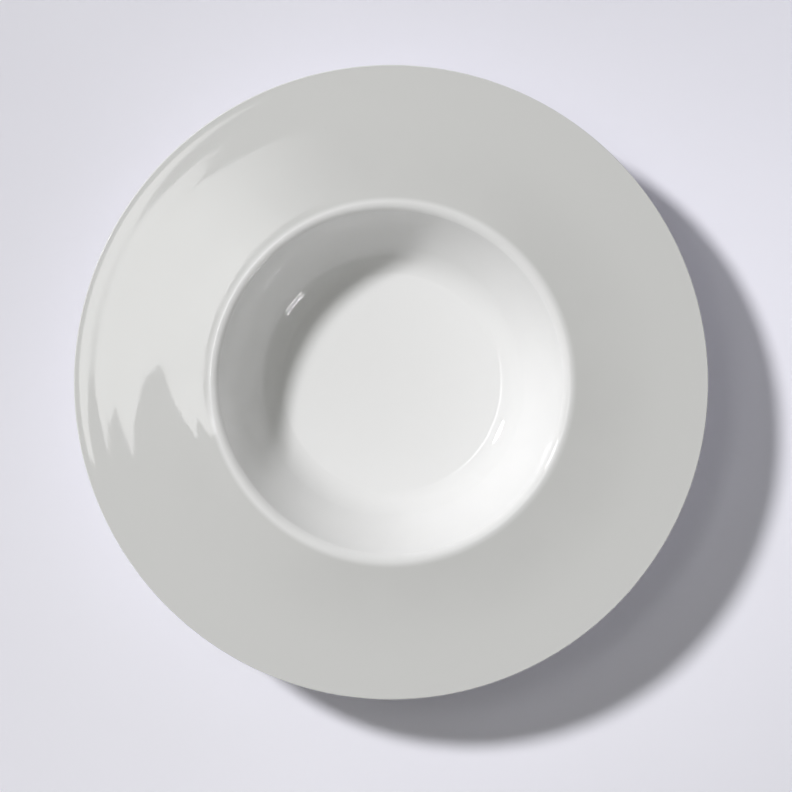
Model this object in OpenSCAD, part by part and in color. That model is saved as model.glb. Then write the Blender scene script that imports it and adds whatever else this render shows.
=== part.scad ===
// Wide-rim pasta bowl in glazed porcelain.
// The fired body and its glass coats are separate solids that meet face to face.
// Millimetres and degrees. The table is at z = 0 and the axis of the bowl is Z.

/* [Overall] */
// Diameter over the rounded edge of the rim
bowl_d = 285; // [240:1:330]
// Height of the lip's crest above the table
bowl_h = 48; // [42:0.5:56]

/* [Lip and rim] */
// Diameter of the lip's crest
lip_d = 161.5; // [140:0.5:190]
// Radius of the lip's rounding
lip_r = 4; // [3:0.25:6]
// Slope of the rim where it leaves the lip
rim_slope = 8; // [6:0.5:10]
// How far the level part of the rim lies below the lip's crest
rim_drop = 3; // [2:0.25:4]
// Slope of the upturn just inside the rim's edge
edge_slope = 2.7; // [1:0.1:5]
// Radius of the sweep from the level rim into the upturn
edge_sweep_r = 55; // [30:1:80]
// Thickness of the rim at its rounded edge
edge_t = 2.4; // [2:0.1:4]
// Radius of the edge's tight rounding on top
edge_top_r = 0.5; // [0.45:0.05:0.9]
// Slope at which the tight rounding runs into a wider one below
edge_turn = 120; // [100:5:130]

/* [Well] */
// Slope of the wall just under the lip
wall_top_slope = 71; // [66:0.5:74]
// Slope of the wall where it runs into the floor's fillet
wall_low_slope = 52; // [47:0.5:57]
// Radius of the fillet between wall and floor
floor_fillet_r = 19; // [14:0.5:23]
// Slope of the dished floor at its edge
floor_slope = 2; // [1:0.25:3]

/* [Underside and foot] */
// Thickness of the wall
wall_t = 5; // [4:0.25:6.5]
// Thickness of the floor in the middle
base_t = 5; // [4:0.25:6.5]
// Height of the recess inside the foot ring
recess_h = 4.5; // [3.5:0.25:6]
// Slope of the rim's underside, which thickens the rim towards the wall
under_slope = 2; // [1:0.25:4]
// Radius of the fillet between the rim's underside and the wall
under_fillet_r = 12; // [8:0.5:16]
// How far the foot ring's outside lies outside the floor's edge
foot_out = 6.4; // [4:0.2:9]
// Width of the foot ring's flat bearing face
foot_face_w = 3; // [2:0.25:5]
// Radius of the corners beside the bearing face
foot_corner_r = 1.2; // [0.6:0.1:1.8]
// Radius of the fillet between the wall and the foot ring's outside
foot_fillet_r = 3; // [2:0.25:5]
// Radius of the fillet between the foot ring's inside and the floor's underside
recess_fillet_r = 2; // [1:0.1:2.4]

/* [Glaze] */
// Thickness of the glass coats
glaze_t = 0.3; // [0.2:0.05:0.4]
// Height of the bare band on the foot ring
bare_h = 2; // [1.8:0.1:2.4]

/* [Hidden] */
$fn = 180;

// Largest distance of a chord from the arc that it stands for
chord_error = 0.02;
// Largest turn of one chord
chord_turn = 7.5;

// Unit vectors of a surface of slope s: one square to it downwards, one square to it upwards, and one
// along it outwards
function below(s) = [sin(s), -cos(s)];
function above(s) = [-sin(s), cos(s)];
function along(s) = [cos(s), sin(s)];

// Number of chords for a turn on a radius
function chords(r, turn) = ceil(abs(turn) / min(chord_turn, 2 * acos(1 - chord_error / r)));

// Slopes along an arc from slope a to slope b
function slopes(r, a, b) = let (n = chords(r, b - a)) [for (i = [0:n]) a + (b - a) * i / n];

// Points of an arc that hangs below its centre, and of one that arches above it, from slope a to b.
// The radius is changed by grow, and the chords of two such arcs stay parallel
function hanging_arc(c, r, grow, a, b) = [for (s = slopes(r, a, b)) c + (r + grow) * below(s)];
function arching_arc(c, r, grow, a, b) = [for (s = slopes(r, a, b)) c + (r + grow) * above(s)];

function reversed(points) = [for (i = [len(points) - 1:-1:0]) points[i]];

// Lip: a rounding whose crest has the lip's diameter
lip_c = [lip_d / 2, bowl_h - lip_r];

// Depth of the well, from the lip's crest to the middle of the floor
well_depth = bowl_h - base_t - recess_h;

// Wall: one arc from the lip to the floor's fillet. Its radius follows from the depth of the well
dish_rise_share = tan(floor_slope / 2);
wall_rise_share = cos(wall_low_slope) - cos(wall_top_slope);
wall_run_share = sin(wall_top_slope) - sin(wall_low_slope);
lip_rise = lip_r * (1 - cos(wall_top_slope));
lip_run = lip_r * sin(wall_top_slope);
fillet_rise = floor_fillet_r * (cos(floor_slope) - cos(wall_low_slope));
fillet_run = floor_fillet_r * (sin(wall_low_slope) - sin(floor_slope));
run_without_wall = lip_d / 2 - lip_run - fillet_run;
rise_without_wall = lip_rise + fillet_rise + run_without_wall * dish_rise_share;
wall_r = (well_depth - rise_without_wall) / (wall_rise_share - wall_run_share * dish_rise_share);
wall_c = lip_c + (lip_r + wall_r) * above(wall_top_slope);

// Floor: a fillet, and a shallow dish centred on the axis
fillet_c = wall_c + (wall_r - floor_fillet_r) * below(wall_low_slope);
floor_edge_r = run_without_wall - wall_r * wall_run_share;
dish_r = floor_edge_r / sin(floor_slope);
dish_c = [0, bowl_h - well_depth + dish_r];

// Rim: a sweep down from the lip to the level part, no longer than the rim has room for
upturn_start_r = bowl_d / 2 - edge_top_r - (edge_sweep_r + edge_top_r) * sin(edge_slope);
sweep_room_r = (upturn_start_r - lip_d / 2) / sin(rim_slope);
sweep_r = min(rim_drop / (1 - cos(rim_slope)), sweep_room_r) - lip_r;
sweep_c = lip_c + (lip_r + sweep_r) * above(-rim_slope);
rim_z = sweep_c.y - sweep_r;

// Edge: an upturn that runs into a tight rounding on top and a wider one below it
upturn_c = [upturn_start_r, rim_z + edge_sweep_r];
edge_top_c = upturn_c + (edge_sweep_r + edge_top_r) * below(edge_slope);
edge_lean_share = -cos(edge_turn);
edge_under_r = (edge_t - edge_top_r * (1 + edge_lean_share)) / (1 - edge_lean_share);
edge_under_c = edge_top_c + (edge_top_r - edge_under_r) * above(-edge_turn);

// Underside: straight from the edge inwards, with a fillet that runs into the outside of the wall.
// The fillet's centre is sought on a line along the underside, from a point below the edge
outer_wall_r = wall_r + wall_t;
below_edge = edge_under_c - (edge_under_r + under_fillet_r) * above(under_slope);
from_wall_c = below_edge - wall_c;
nearest_run = from_wall_c * along(under_slope);
nearest_square = from_wall_c * from_wall_c - nearest_run ^ 2;
under_run = nearest_run - sqrt((outer_wall_r + under_fillet_r) ^ 2 - nearest_square);
under_fillet_c = below_edge - under_run * along(under_slope);
outer_wall_slope = atan2(under_fillet_c.x - wall_c.x, wall_c.y - under_fillet_c.y);

// Foot ring: its outside stands in the round belly below the wall
belly_r = floor_fillet_r + wall_t;
foot_outside_r = floor_edge_r + foot_out;
foot_fillet_run = foot_outside_r + foot_fillet_r - fillet_c.x;
foot_fillet_drop = sqrt((belly_r + foot_fillet_r) ^ 2 - foot_fillet_run ^ 2);
foot_fillet_c = fillet_c + [foot_fillet_run, -foot_fillet_drop];
belly_low_slope = atan2(foot_fillet_run, foot_fillet_drop);

// Bare clay of the foot ring, and the recess inside it
foot_clay_out_r = foot_outside_r - glaze_t;
foot_clay_in_r = foot_clay_out_r - foot_face_w - 2 * foot_corner_r;
recess_r = foot_clay_in_r - glaze_t;
recess_round_r = min(recess_fillet_r, recess_h - bare_h);
recess_round_c = [recess_r - recess_round_r, recess_h - recess_round_r];

// Each outline below lies at a depth under the finished surface: none for the glaze, and the glaze's
// thickness for the clay. An arc about a centre in the clay shrinks with depth, and the others grow

// From the axis over the floor, up the wall and round the lip to the joint of the coats
function well_outline(depth) = concat(
    hanging_arc(dish_c, dish_r, depth, 0, floor_slope),
    hanging_arc(fillet_c, floor_fillet_r, depth, floor_slope, wall_low_slope),
    hanging_arc(wall_c, wall_r, depth, wall_low_slope, wall_top_slope),
    arching_arc(lip_c, lip_r, -depth, wall_top_slope, -rim_slope));

// From that joint over the rim and its edge, and down to the foot ring's bare band
function rim_outline(depth) = concat(
    hanging_arc(sweep_c, sweep_r, depth, -rim_slope, 0),
    hanging_arc(upturn_c, edge_sweep_r, depth, 0, edge_slope),
    arching_arc(edge_top_c, edge_top_r, -depth, edge_slope, -edge_turn),
    arching_arc(edge_under_c, edge_under_r, -depth, -edge_turn, under_slope - 180),
    arching_arc(under_fillet_c, under_fillet_r, depth, under_slope, outer_wall_slope),
    hanging_arc(wall_c, outer_wall_r, -depth, outer_wall_slope, wall_low_slope),
    hanging_arc(fillet_c, belly_r, -depth, wall_low_slope, belly_low_slope),
    arching_arc(foot_fillet_c, foot_fillet_r, depth, belly_low_slope, 90),
    [[foot_outside_r - depth, bare_h]]);

// From the bare band inside the foot ring over the recess to the axis
function recess_outline(depth) = concat(
    [[recess_r + depth, bare_h]],
    arching_arc(recess_round_c, recess_round_r, depth, -90, 0),
    [[0, recess_h + depth]]);

// The bare foot ring, from its outside round the bearing face to its inside
function foot_outline() = concat(
    hanging_arc([foot_clay_out_r - foot_corner_r, foot_corner_r], foot_corner_r, 0, 90, 0),
    hanging_arc([foot_clay_in_r + foot_corner_r, foot_corner_r], foot_corner_r, 0, 0, -90));

// A coat lies between the finished surface and the clay
module coat(finished, clay) {
    rotate_extrude() polygon(concat(finished, reversed(clay)));
}

// Fired clay body: floor, wall, lip, rim and foot ring in one piece
module porcelain_body() {
    color("linen") rotate_extrude() polygon(concat(
        well_outline(glaze_t),
        rim_outline(glaze_t),
        foot_outline(),
        recess_outline(glaze_t)));
}

// White glass coat in the well and round the lip
module well_glaze() {
    color("white") coat(well_outline(0), well_outline(glaze_t));
}

// Pale grey-white glass coat over the rim, the edge and the underside
module rim_glaze() {
    color("gainsboro") coat(rim_outline(0), rim_outline(glaze_t));
}

// Glass coat inside the foot ring
module foot_recess_glaze() {
    color("gainsboro") coat(recess_outline(0), recess_outline(glaze_t));
}

porcelain_body();
well_glaze();
rim_glaze();
foot_recess_glaze();
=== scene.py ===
import math
import bpy
import numpy as np
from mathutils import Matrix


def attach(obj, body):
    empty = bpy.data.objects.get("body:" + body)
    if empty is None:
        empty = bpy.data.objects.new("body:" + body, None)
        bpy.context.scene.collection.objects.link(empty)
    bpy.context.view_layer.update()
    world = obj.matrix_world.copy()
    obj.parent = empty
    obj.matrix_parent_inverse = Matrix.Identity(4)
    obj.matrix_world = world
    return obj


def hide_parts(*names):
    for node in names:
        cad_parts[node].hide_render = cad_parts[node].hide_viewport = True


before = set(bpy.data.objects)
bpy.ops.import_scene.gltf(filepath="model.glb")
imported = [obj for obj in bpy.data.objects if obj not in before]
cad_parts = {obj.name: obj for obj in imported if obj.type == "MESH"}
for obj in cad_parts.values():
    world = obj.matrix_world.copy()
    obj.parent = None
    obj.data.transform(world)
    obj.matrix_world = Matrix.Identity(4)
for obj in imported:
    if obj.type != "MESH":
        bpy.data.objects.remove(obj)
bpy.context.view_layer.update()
scene = bpy.context.scene
scene.view_settings.view_transform = "Standard"

# Sizes of the bowl in millimetres and degrees, the same as in the solids
BOWL_D = 285.0
BOWL_H = 48.0

# Lip and rim
LIP_D = 161.5
LIP_R = 4.0
RIM_SLOPE = 8.0
RIM_DROP = 3.0
EDGE_SLOPE = 2.7
EDGE_SWEEP_R = 55.0
EDGE_T = 2.4
EDGE_TOP_R = 0.5
EDGE_TURN = 120.0

# Well
WALL_TOP_SLOPE = 71.0
WALL_LOW_SLOPE = 52.0
FLOOR_FILLET_R = 19.0
FLOOR_SLOPE = 2.0

# Underside and foot
WALL_T = 5.0
BASE_T = 5.0
RECESS_H = 4.5
UNDER_SLOPE = 2.0
UNDER_FILLET_R = 12.0
FOOT_OUT = 6.4
FOOT_FACE_W = 3.0
FOOT_CORNER_R = 1.2
FOOT_FILLET_R = 3.0
RECESS_FILLET_R = 2.0

# Glaze
GLAZE_T = 0.3
BARE_H = 2.0

# The floor's edge is a little crisper than the fillet that it runs into: its radius, and the slope at
# which the fillet takes over
CREASE_R = 7.0
CREASE_SLOPE = 12.0

# Height of the glaze's rolled end on the foot ring, and the number of points round it
ROLL_H = 0.5
ROLL_POINTS = 9

# How far the line of that end wanders up, and the height over which the wander dies out
LINE_WANDER = 0.25
LINE_WANDER_REACH = 1.2

# How far firing lets the rim sag and pulls it out of round
RIM_SAG = 0.15
OUT_OF_ROUND = 0.06

# Waves round the bowl, each with its number of swings and its phase in radians. Those of the sag begin
# with their share of it
SAG_WAVES = ((0.6, 2, 0.7), (0.4, 3, -1.1))
OUT_OF_ROUND_WAVE = (2, -0.4)
LINE_WAVES = ((5, -1.2708), (11, 0.3292))

# A throwing ring: the rim rises by a low step between two radii
RING_STEP = 0.06
RING_START_R = 131.1
RING_END_R = 138.3

# Steps of the lathe round the axis, and the largest turn and length of a step along an outline
SEGMENTS = 256
STEP_TURN = 2.5
FINE_STEP_TURN = 1.5
UPTURN_STEP_TURN = 0.25
TIGHT_STEP_TURN = 5.0
CORNER_STEP_TURN = 9.0
STEP_LENGTH = 2.5
LEVEL_STEP_LENGTH = 0.4

# Steps across the level part of the recess
RECESS_STEPS = 4

# Points of an outline that lie nearer to each other are one point
SAME_POINT = 1e-4

# Rounding error that is allowed in a radius or a height
TOLERANCE = 1e-6

# An edge that turns more than this is shaded as a corner
SHARP_TURN = 40.0

# Metres in a millimetre
METRES = 0.001


def sine(angle):
    return math.sin(math.radians(angle))


def cosine(angle):
    return math.cos(math.radians(angle))


# Unit vectors of a surface of a slope: square to it downwards, square to it upwards, and along it outwards
def below(slope):
    return np.array([sine(slope), -cosine(slope)])


def above(slope):
    return np.array([-sine(slope), cosine(slope)])


def along(slope):
    return np.array([cosine(slope), sine(slope)])


# Points of an arc from one slope to another, with the unit vector that leads to them from the centre
def arc(centre, radius, side, start, end, step_turn=STEP_TURN):
    turn = abs(end - start)
    length = math.radians(turn) * radius
    steps = max(math.ceil(turn / step_turn), math.ceil(length / STEP_LENGTH))
    return [centre + radius * side(slope) for slope in np.linspace(start, end, steps + 1)]


# Lip and wall: the wall's radius follows from the depth of the well
lip_c = np.array([LIP_D / 2, BOWL_H - LIP_R])
well_depth = BOWL_H - BASE_T - RECESS_H
dish_rise_share = math.tan(math.radians(FLOOR_SLOPE / 2))
wall_rise_share = cosine(WALL_LOW_SLOPE) - cosine(WALL_TOP_SLOPE)
wall_run_share = sine(WALL_TOP_SLOPE) - sine(WALL_LOW_SLOPE)
lip_rise = LIP_R * (1 - cosine(WALL_TOP_SLOPE))
lip_run = LIP_R * sine(WALL_TOP_SLOPE)
fillet_rise = FLOOR_FILLET_R * (cosine(FLOOR_SLOPE) - cosine(WALL_LOW_SLOPE))
fillet_run = FLOOR_FILLET_R * (sine(WALL_LOW_SLOPE) - sine(FLOOR_SLOPE))
run_without_wall = LIP_D / 2 - lip_run - fillet_run
rise_without_wall = lip_rise + fillet_rise + run_without_wall * dish_rise_share
wall_r = (well_depth - rise_without_wall) / (wall_rise_share - wall_run_share * dish_rise_share)
wall_c = lip_c + (LIP_R + wall_r) * above(WALL_TOP_SLOPE)

# Floor: the fillet, its crisper edge, and a dish from that edge to the middle
fillet_c = wall_c + (wall_r - FLOOR_FILLET_R) * below(WALL_LOW_SLOPE)
floor_edge_r = run_without_wall - wall_r * wall_run_share
floor_z = BOWL_H - well_depth
crease_c = fillet_c + (FLOOR_FILLET_R - CREASE_R) * below(CREASE_SLOPE)
crease_rise = crease_c[1] - floor_z
dish_r = (crease_c[0] ** 2 + crease_rise ** 2 - CREASE_R ** 2) / (2 * (crease_rise - CREASE_R))
dish_c = np.array([0.0, floor_z + dish_r])
dish_slope = math.degrees(math.atan2(crease_c[0], dish_c[1] - crease_c[1]))

# Rim: a sweep down from the lip to the level part, and an upturn into the rounded edge
upturn_start_r = BOWL_D / 2 - EDGE_TOP_R - (EDGE_SWEEP_R + EDGE_TOP_R) * sine(EDGE_SLOPE)
sweep_r = RIM_DROP / (1 - cosine(RIM_SLOPE)) - LIP_R
sweep_c = lip_c + (LIP_R + sweep_r) * above(-RIM_SLOPE)
rim_z = sweep_c[1] - sweep_r
upturn_c = np.array([upturn_start_r, rim_z + EDGE_SWEEP_R])
edge_top_c = upturn_c + (EDGE_SWEEP_R + EDGE_TOP_R) * below(EDGE_SLOPE)
edge_lean_share = -cosine(EDGE_TURN)
edge_under_r = (EDGE_T - EDGE_TOP_R * (1 + edge_lean_share)) / (1 - edge_lean_share)
edge_under_c = edge_top_c + (EDGE_TOP_R - edge_under_r) * above(-EDGE_TURN)

# Underside: straight from the edge inwards, with a fillet that runs into the outside of the wall
outer_wall_r = wall_r + WALL_T
below_edge = edge_under_c - (edge_under_r + UNDER_FILLET_R) * above(UNDER_SLOPE)
from_wall_c = below_edge - wall_c
nearest_run = from_wall_c @ along(UNDER_SLOPE)
nearest_square = from_wall_c @ from_wall_c - nearest_run ** 2
under_run = nearest_run - math.sqrt((outer_wall_r + UNDER_FILLET_R) ** 2 - nearest_square)
under_fillet_c = below_edge - under_run * along(UNDER_SLOPE)
outer_wall_slope = math.degrees(math.atan2(under_fillet_c[0] - wall_c[0], wall_c[1] - under_fillet_c[1]))

# Foot ring and the recess inside it
belly_r = FLOOR_FILLET_R + WALL_T
foot_outside_r = floor_edge_r + FOOT_OUT
foot_fillet_run = foot_outside_r + FOOT_FILLET_R - fillet_c[0]
foot_fillet_drop = math.sqrt((belly_r + FOOT_FILLET_R) ** 2 - foot_fillet_run ** 2)
foot_fillet_c = fillet_c + np.array([foot_fillet_run, -foot_fillet_drop])
belly_low_slope = math.degrees(math.atan2(foot_fillet_run, foot_fillet_drop))
foot_clay_out_r = foot_outside_r - GLAZE_T
foot_clay_in_r = foot_clay_out_r - FOOT_FACE_W - 2 * FOOT_CORNER_R
recess_r = foot_clay_in_r - GLAZE_T
recess_round_r = min(RECESS_FILLET_R, RECESS_H - BARE_H)
recess_round_c = np.array([recess_r - recess_round_r, RECESS_H - recess_round_r])


# Outlines are points of radius and height, and lie at a depth under the finished surface
def well_outline(depth):
    return (
        arc(dish_c, dish_r + depth, below, 0, dish_slope)
        + arc(crease_c, CREASE_R + depth, below, dish_slope, CREASE_SLOPE, FINE_STEP_TURN)
        + arc(fillet_c, FLOOR_FILLET_R + depth, below, CREASE_SLOPE, WALL_LOW_SLOPE, FINE_STEP_TURN)
        + arc(wall_c, wall_r + depth, below, WALL_LOW_SLOPE, WALL_TOP_SLOPE)
        + arc(lip_c, LIP_R - depth, above, WALL_TOP_SLOPE, -RIM_SLOPE, FINE_STEP_TURN)
    )


def level_rim(depth):
    radii = np.arange(sweep_c[0] + LEVEL_STEP_LENGTH, upturn_start_r, LEVEL_STEP_LENGTH)
    return [np.array([radius, rim_z - depth]) for radius in radii]


def rim_outline(depth):
    return (
        arc(sweep_c, sweep_r + depth, below, -RIM_SLOPE, 0)
        + level_rim(depth)
        + arc(upturn_c, EDGE_SWEEP_R + depth, below, 0, EDGE_SLOPE, UPTURN_STEP_TURN)
        + arc(edge_top_c, EDGE_TOP_R - depth, above, EDGE_SLOPE, -EDGE_TURN, TIGHT_STEP_TURN)
        + arc(edge_under_c, edge_under_r - depth, above, -EDGE_TURN, UNDER_SLOPE - 180, TIGHT_STEP_TURN)
        + arc(under_fillet_c, UNDER_FILLET_R + depth, above, UNDER_SLOPE, outer_wall_slope)
        + arc(wall_c, outer_wall_r - depth, below, outer_wall_slope, WALL_LOW_SLOPE)
        + arc(fillet_c, belly_r - depth, below, WALL_LOW_SLOPE, belly_low_slope)
        + arc(foot_fillet_c, FOOT_FILLET_R + depth, above, belly_low_slope, 90, TIGHT_STEP_TURN)
    )


def recess_outline(depth):
    level_radii = np.linspace(recess_round_c[0], 0, RECESS_STEPS + 1)[1:]
    level = [np.array([radius, RECESS_H + depth]) for radius in level_radii]
    return arc(recess_round_c, recess_round_r + depth, above, -90, 0, TIGHT_STEP_TURN) + level


# The bare foot ring, from its outside round the bearing face to its inside
def foot_outline():
    outer_c = np.array([foot_clay_out_r - FOOT_CORNER_R, FOOT_CORNER_R])
    inner_c = np.array([foot_clay_in_r + FOOT_CORNER_R, FOOT_CORNER_R])
    return (
        arc(outer_c, FOOT_CORNER_R, below, 90, 0, CORNER_STEP_TURN)
        + arc(inner_c, FOOT_CORNER_R, below, 0, -90, CORNER_STEP_TURN)
    )


# The rounded end of a coat on the foot ring, from its finished surface in to the clay
def rolled_end(clay_r, outwards):
    centre = np.array([clay_r, BARE_H + ROLL_H])
    turns = np.linspace(0, 90, ROLL_POINTS)
    return [centre + np.array([outwards * GLAZE_T * cosine(turn), -ROLL_H * sine(turn)]) for turn in turns]


def without_repeats(points):
    kept = [points[0]]
    for point in points[1:]:
        if np.linalg.norm(point - kept[-1]) > SAME_POINT:
            kept.append(point)
    return kept


# An even passage from 0 to 1
def smooth_step(x):
    x = np.clip(x, 0, 1)
    return x * x * (3 - 2 * x)


# A wave round the bowl that swings from 0 to 1
def wave(turns, swings, phase):
    return (1 + np.cos(swings * turns + phase)) / 2


# Small departures of a ring of the bowl from the true round. Each goes inwards or down, apart from the
# wander of the glaze's line, so the bowl keeps its box
def fired(radius, height, turns):
    rim_share = smooth_step((radius - LIP_D / 2) / (BOWL_D / 2 - LIP_D / 2))
    sag = sum(share * wave(turns, swings, phase) for share, swings, phase in SAG_WAVES)
    inside_ring = 1 - smooth_step((radius - RING_START_R) / (RING_END_R - RING_START_R))
    drop = RIM_SAG * sag * rim_share + RING_STEP * inside_ring * rim_share
    high = smooth_step((height - BARE_H) / (BOWL_H - BARE_H))
    pull = OUT_OF_ROUND * wave(turns, *OUT_OF_ROUND_WAVE) * high * radius / (BOWL_D / 2)
    near_line = 0.0
    if height >= BARE_H - TOLERANCE:
        near_line = 1 - smooth_step((height - BARE_H) / LINE_WANDER_REACH)
    wander = sum(wave(turns, *line_wave) for line_wave in LINE_WAVES) / len(LINE_WAVES)
    return radius - pull, height - drop + LINE_WANDER * wander * near_line


# Faces between two rings of vertices, one of which may be a single vertex on the axis
def band(first, second):
    faces = []
    for i in range(SEGMENTS):
        j = (i + 1) % SEGMENTS
        if len(first) == 1:
            faces.append((first[0], second[i], second[j]))
        elif len(second) == 1:
            faces.append((first[i], second[0], first[j]))
        else:
            faces.append((first[i], second[i], second[j], first[j]))
    return faces


# A closed mesh from an outline that runs from the axis to the axis, or that closes on itself
def lathe(name, outline, closes_on_itself=False):
    if closes_on_itself:
        points = without_repeats(outline + outline[:1])[:-1]
    else:
        points = without_repeats(outline)
    turns = np.arange(SEGMENTS) * 2 * math.pi / SEGMENTS
    vertices = []
    rings = []
    for radius, height in points:
        start = len(vertices)
        if radius < TOLERANCE:
            vertices.append((0.0, 0.0, height * METRES))
        else:
            r, z = fired(radius, height, turns)
            ring = np.stack([r * np.cos(turns), r * np.sin(turns), z], axis=1) * METRES
            vertices.extend(map(tuple, ring))
        rings.append(range(start, len(vertices)))
    if closes_on_itself:
        rings.append(rings[0])
    faces = []
    for first, second in zip(rings, rings[1:]):
        faces.extend(band(first, second))
    mesh = bpy.data.meshes.new(name)
    mesh.from_pydata(vertices, [], faces)
    mesh.validate()
    mesh.shade_smooth()
    mesh.set_sharp_from_angle(angle=math.radians(SHARP_TURN))
    piece = bpy.data.objects.new(name, mesh)
    scene.collection.objects.link(piece)
    return piece


# The values between which most of a noise lies
NOISE_LOW = 0.3
NOISE_HIGH = 0.7

# Sockets of a node that mixes colours
MIX_SHARE = 0
MIX_FIRST = 6
MIX_SECOND = 7
MIX_RESULT = 2


# Shader nodes of a material or of the world
class Nodes:
    def __init__(self, owner, coordinates="Object"):
        owner.use_nodes = True
        self.tree = owner.node_tree
        self.place = self.add("ShaderNodeTexCoord").outputs[coordinates]
        self.axes = self.add("ShaderNodeSeparateXYZ", {"Vector": self.place}).outputs

    def add(self, kind, inputs=None, **settings):
        node = self.tree.nodes.new(kind)
        for key, value in settings.items():
            setattr(node, key, value)
        for key, value in (inputs or {}).items():
            self.feed(value, node.inputs[key])
        return node

    def feed(self, value, socket):
        if isinstance(value, bpy.types.NodeSocket):
            self.tree.links.new(value, socket)
        else:
            socket.default_value = value

    # Inputs of a node that the tree has from the start
    def set_inputs(self, node_name, inputs):
        for key, value in inputs.items():
            self.feed(value, self.tree.nodes[node_name].inputs[key])

    def calculate(self, operation, first, second):
        return self.add("ShaderNodeMath", {0: first, 1: second}, operation=operation).outputs[0]

    # A value spread smoothly from one range to another
    def ranged(self, value, low, high, to_low=0.0, to_high=1.0):
        ends = {"Value": value, "From Min": low, "From Max": high, "To Min": to_low, "To Max": to_high}
        return self.add("ShaderNodeMapRange", ends, interpolation_type="SMOOTHSTEP").outputs["Result"]

    def mix(self, share, first, second):
        inputs = {MIX_SHARE: share, MIX_FIRST: first, MIX_SECOND: second}
        return self.add("ShaderNodeMix", inputs, data_type="RGBA").outputs[MIX_RESULT]

    def noise(self, scale, detail):
        inputs = {"Vector": self.place, "Scale": scale, "Detail": detail}
        return self.add("ShaderNodeTexNoise", inputs).outputs["Fac"]

    def spread_noise(self, scale, detail, low=NOISE_LOW, high=NOISE_HIGH, to_low=0.0, to_high=1.0):
        return self.ranged(self.noise(scale, detail), low, high, to_low, to_high)

    # Round spots in some of the cells that fill the space: a cell has one where its own random value is
    # high, and the spot fades in between two distances from the cell's middle
    def spots(self, scale, rare_from, rare_full, edge, core):
        cells = self.add("ShaderNodeTexVoronoi", {"Vector": self.place, "Scale": scale}).outputs
        rare = self.ranged(cells["Color"], rare_from, rare_full)
        return self.calculate("MULTIPLY", self.ranged(cells["Distance"], edge, core), rare)

    # A bump on top of the one under it
    def bump(self, height, strength, depth, under=None):
        inputs = {"Height": height, "Strength": strength, "Distance": depth}
        if under is not None:
            inputs["Normal"] = under
        return self.add("ShaderNodeBump", inputs).outputs["Normal"]

    def noise_bump(self, scale, detail, strength, depth, under=None):
        return self.bump(self.noise(scale, detail), strength, depth, under)

    # Distance from the bowl's axis in metres
    def radius(self):
        flat = self.add("ShaderNodeCombineXYZ", {"X": self.axes["X"], "Y": self.axes["Y"]}).outputs[0]
        return self.add("ShaderNodeVectorMath", {0: flat}, operation="LENGTH").outputs["Value"]


# A colour with its red, green and blue scaled
def shaded(colour, share):
    return tuple(share * part for part in colour[:3]) + (1,)


# Colours of the glazes. Lengths and places of the looks and the stage are in metres
WELL_WHITE = (0.888, 0.887, 0.893, 1)
RIM_GREY = (0.707, 0.707, 0.703, 1)

# Painted light on the well's floor: the white there is made lighter than on the walls, to even out their
# shading. Its tone there, and the heights between which it sets in
WELL_FLOOR_LIGHT_TONE = 1.055
WELL_FLOOR_LIGHT_FULL_Z = 0.011
WELL_FLOOR_LIGHT_END_Z = 0.018

# Painted light on the rim: the grey is made a little lighter towards the rim's edge. Its tone there, and the
# radii between which it sets in
PAINTED_EDGE_LIGHT_TONE = 1.033
PAINTED_EDGE_LIGHT_START_R = 0.090
PAINTED_EDGE_LIGHT_FULL_R = 0.125

# Radii on the lip between which the white runs into the grey, and the heights above which it does
BLEND_START_R = 0.0808
BLEND_END_R = 0.0836
BLEND_LOW_Z = 0.042
BLEND_HIGH_Z = 0.044

# Faint clouds of tone, rare pinholes, and a skin that is not quite even
CLOUDS = dict(scale=22, detail=3)
CLOUD_DARK = 0.985
CLOUD_LIGHT = 1.015
PINHOLES = dict(scale=140, rare_from=0.9, rare_full=0.92, edge=0.03, core=0.018)
PINHOLE_TONE = 0.8
PINHOLE_BUMP = dict(strength=0.3, depth=0.0002)
BROAD_WAVES = dict(scale=45, detail=1, strength=0.06, depth=0.0004)
FINE_WAVES = dict(scale=420, detail=1, strength=0.03, depth=0.0001)
GLAZE_ROUGHNESS = dict(scale=60, detail=3, to_low=0.02, to_high=0.045)
GLAZE_IOR = 1.58


# Shares of a tint over a coat
# Share of the painted light on the well's floor
def painted_well_floor_light(nodes):
    return nodes.ranged(nodes.axes["Z"], WELL_FLOOR_LIGHT_END_Z, WELL_FLOOR_LIGHT_FULL_Z)


# Share of the painted light towards the rim's edge
def painted_edge_light(nodes):
    return nodes.ranged(nodes.radius(), PAINTED_EDGE_LIGHT_START_R, PAINTED_EDGE_LIGHT_FULL_R)


def on_lip(nodes, from_r, to_r):
    across = nodes.ranged(nodes.radius(), from_r, to_r)
    high = nodes.ranged(nodes.axes["Z"], BLEND_LOW_Z, BLEND_HIGH_Z)
    return nodes.calculate("MULTIPLY", across, high)


def outer_lip(nodes):
    return on_lip(nodes, BLEND_START_R, BLEND_END_R)


def inner_lip(nodes):
    return on_lip(nodes, BLEND_END_R, BLEND_START_R)


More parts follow.
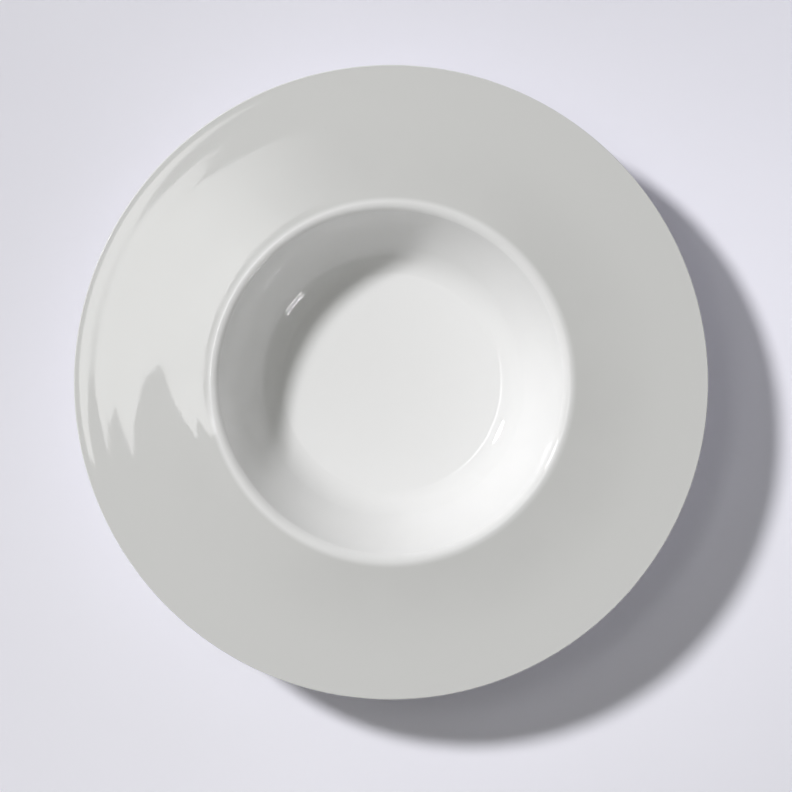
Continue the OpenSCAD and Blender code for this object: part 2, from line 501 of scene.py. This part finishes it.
# Gloss glaze of one tone, with tints that each have a function for their share
def glaze_material(name, tone, tints=()):
    material = bpy.data.materials.new(name)
    nodes = Nodes(material)
    colour = nodes.mix(nodes.spread_noise(**CLOUDS), shaded(tone, CLOUD_DARK), shaded(tone, CLOUD_LIGHT))
    for share, tint in tints:
        colour = nodes.mix(share(nodes), colour, tint)
    pinhole = nodes.spots(**PINHOLES)
    colour = nodes.mix(pinhole, colour, shaded(tone, PINHOLE_TONE))
    skin = nodes.noise_bump(**BROAD_WAVES)
    skin = nodes.noise_bump(**FINE_WAVES, under=skin)
    skin = nodes.bump(nodes.calculate("SUBTRACT", 1.0, pinhole), **PINHOLE_BUMP, under=skin)
    roughness = nodes.spread_noise(**GLAZE_ROUGHNESS)
    looks = {"Base Color": colour, "Roughness": roughness, "IOR": GLAZE_IOR, "Normal": skin}
    nodes.set_inputs("Principled BSDF", looks)
    return material


# Bare porcelain: fine dry grain, iron specks, and grey rub marks where it stands
CLAY_CLOUDS = dict(scale=90, detail=4)
CLAY_DARK = (0.70, 0.67, 0.61, 1)
CLAY_LIGHT = (0.77, 0.745, 0.69, 1)
SPECKS = dict(scale=900, rare_from=0.8, rare_full=0.83, edge=0.25, core=0.12)
SPECK_BROWN = (0.36, 0.29, 0.22, 1)
RUB_MARKS = dict(scale=160, detail=4, low=0.4, high=0.65, to_high=0.55)
RUB_GREY = (0.42, 0.41, 0.39, 1)
RUB_TOP_Z = 0.0006
GRAIN = dict(scale=2600, detail=3, strength=0.35, depth=0.00012)
CLAY_ROUGHNESS = dict(scale=500, detail=3, to_low=0.6, to_high=0.8)


def clay_material():
    material = bpy.data.materials.new("bare_porcelain_grain")
    nodes = Nodes(material)
    colour = nodes.mix(nodes.spread_noise(**CLAY_CLOUDS), CLAY_DARK, CLAY_LIGHT)
    colour = nodes.mix(nodes.spots(**SPECKS), colour, SPECK_BROWN)
    standing = nodes.ranged(nodes.axes["Z"], RUB_TOP_Z, 0.0)
    rubbed = nodes.calculate("MULTIPLY", standing, nodes.spread_noise(**RUB_MARKS))
    colour = nodes.mix(rubbed, colour, RUB_GREY)
    roughness = nodes.spread_noise(**CLAY_ROUGHNESS)
    looks = {"Base Color": colour, "Roughness": roughness, "Normal": nodes.noise_bump(**GRAIN)}
    nodes.set_inputs("Principled BSDF", looks)
    return material


# Outlines of the coats, on their finished side and on the clay
well_finished = well_outline(0)
well_clay = well_outline(GLAZE_T)
rim_finished = rim_outline(0) + rolled_end(foot_clay_out_r, 1)
rim_clay = rim_outline(GLAZE_T) + [np.array([foot_clay_out_r, BARE_H])]
recess_finished = rolled_end(foot_clay_in_r, -1)[::-1] + recess_outline(0)
recess_clay = [np.array([foot_clay_in_r, BARE_H])] + recess_outline(GLAZE_T)

# The four pieces of the bowl
body = lathe("fired_body", well_clay + rim_clay + foot_outline() + recess_clay)
well_coat = lathe("well_coat", well_finished + well_clay[::-1])
rim_coat = lathe("rim_coat", rim_finished + rim_clay[::-1], closes_on_itself=True)
recess_coat = lathe("recess_coat", recess_clay[::-1] + recess_finished)

# Tints of the well: painted light on its floor, and the grey at its lip
well_tints = ((painted_well_floor_light, shaded(WELL_WHITE, WELL_FLOOR_LIGHT_TONE)), (outer_lip, RIM_GREY))
# Tints of the rim: painted light towards its edge, and the white at the lip
rim_tints = ((painted_edge_light, shaded(RIM_GREY, PAINTED_EDGE_LIGHT_TONE)), (inner_lip, WELL_WHITE))
body.data.materials.append(clay_material())
well_coat.data.materials.append(glaze_material("white_glaze_gloss", WELL_WHITE, well_tints))
rim_coat.data.materials.append(glaze_material("pale_grey_glaze_gloss", RIM_GREY, rim_tints))
recess_coat.data.materials.append(glaze_material("recess_glaze_gloss", RIM_GREY))

for piece, node, slot in (
    (body, "porcelain_body", "bare_porcelain"),
    (well_coat, "well_glaze", "white_glaze"),
    (rim_coat, "rim_glaze", "pale_grey_glaze"),
    (recess_coat, "foot_recess_glaze", "pale_grey_glaze"),
):
    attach(piece, "root")
    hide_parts(node)

# Floor of pale paper, with faint clouds and fibres. Painted light: it is made paler to the lower right and
# round the bowl, and darker further out, as though lit more there
BLACK = (0, 0, 0, 1)
FLOOR_SIZE = 8.0
FLOOR_COLOUR = (0.863, 0.855, 0.928, 1)
# Painted light: how much paler the floor is made to the lower right
FLOOR_PAINTED_LIGHT = 1.24
FLOOR_REACH = 0.25
FLOOR_SIDE_SHARE = 0.6
# Painted falloff of light: how much darker the floor is made beyond the bowl's surroundings, and the radii
# between which it sets in
FLOOR_PAINTED_FALLOFF = 0.05
FLOOR_NEAR_R = 0.17
FLOOR_FAR_R = 0.27
FLOOR_CLOUDS = dict(scale=3, detail=3, to_high=0.03)
FLOOR_FIBRES = dict(scale=900, detail=3, strength=0.1, depth=0.0001)
FLOOR_ROUGHNESS = 0.9
FLOOR_SPECULAR = 0.2


def floor_material():
    material = bpy.data.materials.new("pale_paper")
    nodes = Nodes(material)
    # Painted light, paler towards the lower right
    side = nodes.calculate("MULTIPLY", nodes.axes["X"], FLOOR_SIDE_SHARE)
    lower_right = nodes.calculate("SUBTRACT", side, nodes.axes["Y"])
    painted_light_share = nodes.ranged(lower_right, -FLOOR_REACH, FLOOR_REACH)
    colour = nodes.mix(painted_light_share, FLOOR_COLOUR, shaded(FLOOR_COLOUR, FLOOR_PAINTED_LIGHT))
    # Painted falloff of light, darker further from the bowl
    painted_falloff_share = nodes.ranged(nodes.radius(), FLOOR_NEAR_R, FLOOR_FAR_R, to_high=FLOOR_PAINTED_FALLOFF)
    colour = nodes.mix(painted_falloff_share, colour, BLACK)
    colour = nodes.mix(nodes.spread_noise(**FLOOR_CLOUDS), colour, BLACK)
    looks = {
        "Base Color": colour,
        "Roughness": FLOOR_ROUGHNESS,
        "Specular IOR Level": FLOOR_SPECULAR,
        "Normal": nodes.noise_bump(**FLOOR_FIBRES),
    }
    nodes.set_inputs("Principled BSDF", looks)
    return material


# A level sheet of the stage
def flat_mesh(name, outline, height, material):
    mesh = bpy.data.meshes.new(name)
    mesh.from_pydata([(x, y, height) for x, y in outline], [], [tuple(range(len(outline)))])
    mesh.materials.append(material)
    sheet = bpy.data.objects.new(name, mesh)
    scene.collection.objects.link(sheet)
    return sheet


half = FLOOR_SIZE / 2
floor = flat_mesh("floor", ((-half, -half), (half, -half), (half, half), (-half, half)), 0, floor_material())

# Camera straight above the bowl: its lens follows from the scale of the picture at the level of the rim
IMAGE_WIDTH = 792
PIXELS_PER_METRE = 2227.5
RIM_LEVEL = 0.0448
CAMERA_PLACE = (0.00218, -0.00617, 1.25)
SENSOR = 36.0
camera_data = bpy.data.cameras.new("camera")
camera_data.sensor_width = SENSOR
camera_data.lens = SENSOR * PIXELS_PER_METRE * (CAMERA_PLACE[2] - RIM_LEVEL) / IMAGE_WIDTH
camera = bpy.data.objects.new("camera", camera_data)
camera.location = CAMERA_PLACE
scene.collection.objects.link(camera)
scene.camera = camera


# A lamp that faces the bowl from a turn about it and an elevation above the floor: round, or a strip
# where it has a height of its own
def lamp(name, turn, elevation, distance, width, power, height=None):
    light = bpy.data.lights.new(name, "AREA")
    light.shape = "RECTANGLE" if height else "DISK"
    light.size = width
    if height:
        light.size_y = height
    light.energy = power
    item = bpy.data.objects.new(name, light)
    flat = distance * cosine(elevation)
    item.location = (flat * cosine(turn), flat * sine(turn), distance * sine(elevation))
    item.rotation_euler = (math.radians(90 - elevation), 0, math.radians(turn + 90))
    scene.collection.objects.link(item)
    return item


# Key light, whose shadow falls to the lower right of the picture, and its gleam on the glaze
KEY_PLACE = dict(elevation=45.0, distance=5.0)
key = lamp("key", turn=146.0, width=0.63, power=193.0, **KEY_PLACE)
key.visible_glossy = False
gleam = lamp("gleam", turn=155.0, width=0.74, power=40.0, **KEY_PLACE)
gleam.visible_diffuse = False

# Two low strips, seen only as a double glint in the shade of the well
GLINT_ELEVATIONS = (18.5, 30.0)
GLINT_STRIP = dict(turn=-39.5, distance=2.0, width=0.38, height=0.045, power=2.2)
for number, glint_elevation in enumerate(GLINT_ELEVATIONS):
    glint = lamp(f"glint_{number}", elevation=glint_elevation, **GLINT_STRIP)
    glint.visible_diffuse = False

# Weak fills: one on the bowl alone from the lower right, and one on the floor alone from the right
FILL_DISC = dict(distance=0.6, width=0.4)
FLOOR_FILL_COLOUR = (0.8, 0.8, 1.0)
bowl_fill = lamp("bowl_fill", turn=-50.0, elevation=28.0, power=0.30, **FILL_DISC)
floor_fill = lamp("floor_fill", turn=20.0, elevation=25.0, power=0.33, **FILL_DISC)
floor_fill.data.color = FLOOR_FILL_COLOUR
for fill, lit_items in ((bowl_fill, (body, well_coat, rim_coat, recess_coat)), (floor_fill, (floor,))):
    lit = bpy.data.collections.new("lit_by_" + fill.name)
    for item in lit_items:
        lit.objects.link(item)
    fill.light_linking.receiver_collection = lit
    fill.visible_glossy = False

# Soft panel above the left of the bowl, seen as a broad reflection on the rim. Its lower side is notched,
# and its glow fades towards the top of the picture and towards the middle
PANEL_HEIGHT = 1.25
PANEL_STRENGTH = 3.25
PANEL_COLOUR = (1, 1, 1, 1)
PANEL_FADE_START = math.radians(35)
PANEL_FADE_END = math.radians(80)
PANEL_GLOW_START_R = 0.225
PANEL_GLOW_FULL_R = 0.258
PANEL_LOWER_SIDE = [
    (-0.262, -0.033),
    (-0.262, -0.062),
    (-0.266, -0.067),
    (-0.290, -0.048),
    (-0.314, -0.018),
    (-0.343, 0.014),
    (-0.371, 0.034),
    (-0.393, 0.026),
    (-0.421, -0.039),
    (-0.435, -0.093),
    (-0.440, -0.123),
    (-0.466, -0.079),
    (-0.480, -0.136),
    (-0.4995, -0.132),
]
PANEL_OUTER_SIDE = dict(centre=np.array([-0.035, 0.016]), radius=0.4655, start=182, end=90)
PANEL_INNER_SIDE = dict(centre=np.array([-0.0035, 0.082]), radius=0.2114, start=100, end=159)


def panel_material():
    material = bpy.data.materials.new("panel_glow")
    nodes = Nodes(material)
    leftwards = nodes.calculate("MULTIPLY", nodes.axes["X"], -1.0)
    turn = nodes.calculate("ARCTAN2", nodes.axes["Y"], leftwards)
    strength = nodes.ranged(turn, PANEL_FADE_END, PANEL_FADE_START, to_high=PANEL_STRENGTH)
    outside = nodes.ranged(nodes.radius(), PANEL_GLOW_START_R, PANEL_GLOW_FULL_R)
    strength = nodes.calculate("MULTIPLY", strength, outside)
    glow = nodes.add("ShaderNodeEmission", {"Color": PANEL_COLOUR, "Strength": strength})
    nodes.set_inputs("Material Output", {"Surface": glow.outputs["Emission"]})
    return material


panel_rounds = arc(side=along, **PANEL_OUTER_SIDE) + arc(side=along, **PANEL_INNER_SIDE)
panel = flat_mesh("soft_panel", PANEL_LOWER_SIDE + panel_rounds, PANEL_HEIGHT, panel_material())
panel.visible_camera = False
panel.visible_shadow = False

# Room: a pale backdrop all round, and a darker ceiling. The heights are of a direction of length 1
BACKDROP = (0.5, 0.5, 0.5, 1)
CEILING = (0.132, 0.133, 0.118, 1)
BACKDROP_TOP = 0.05
CEILING_START = 0.4
scene.world = bpy.data.worlds.new("room")
room_nodes = Nodes(scene.world, "Generated")
ceiling_share = room_nodes.ranged(room_nodes.axes["Z"], BACKDROP_TOP, CEILING_START)
room_nodes.set_inputs("Background", {"Color": room_nodes.mix(ceiling_share, BACKDROP, CEILING)})
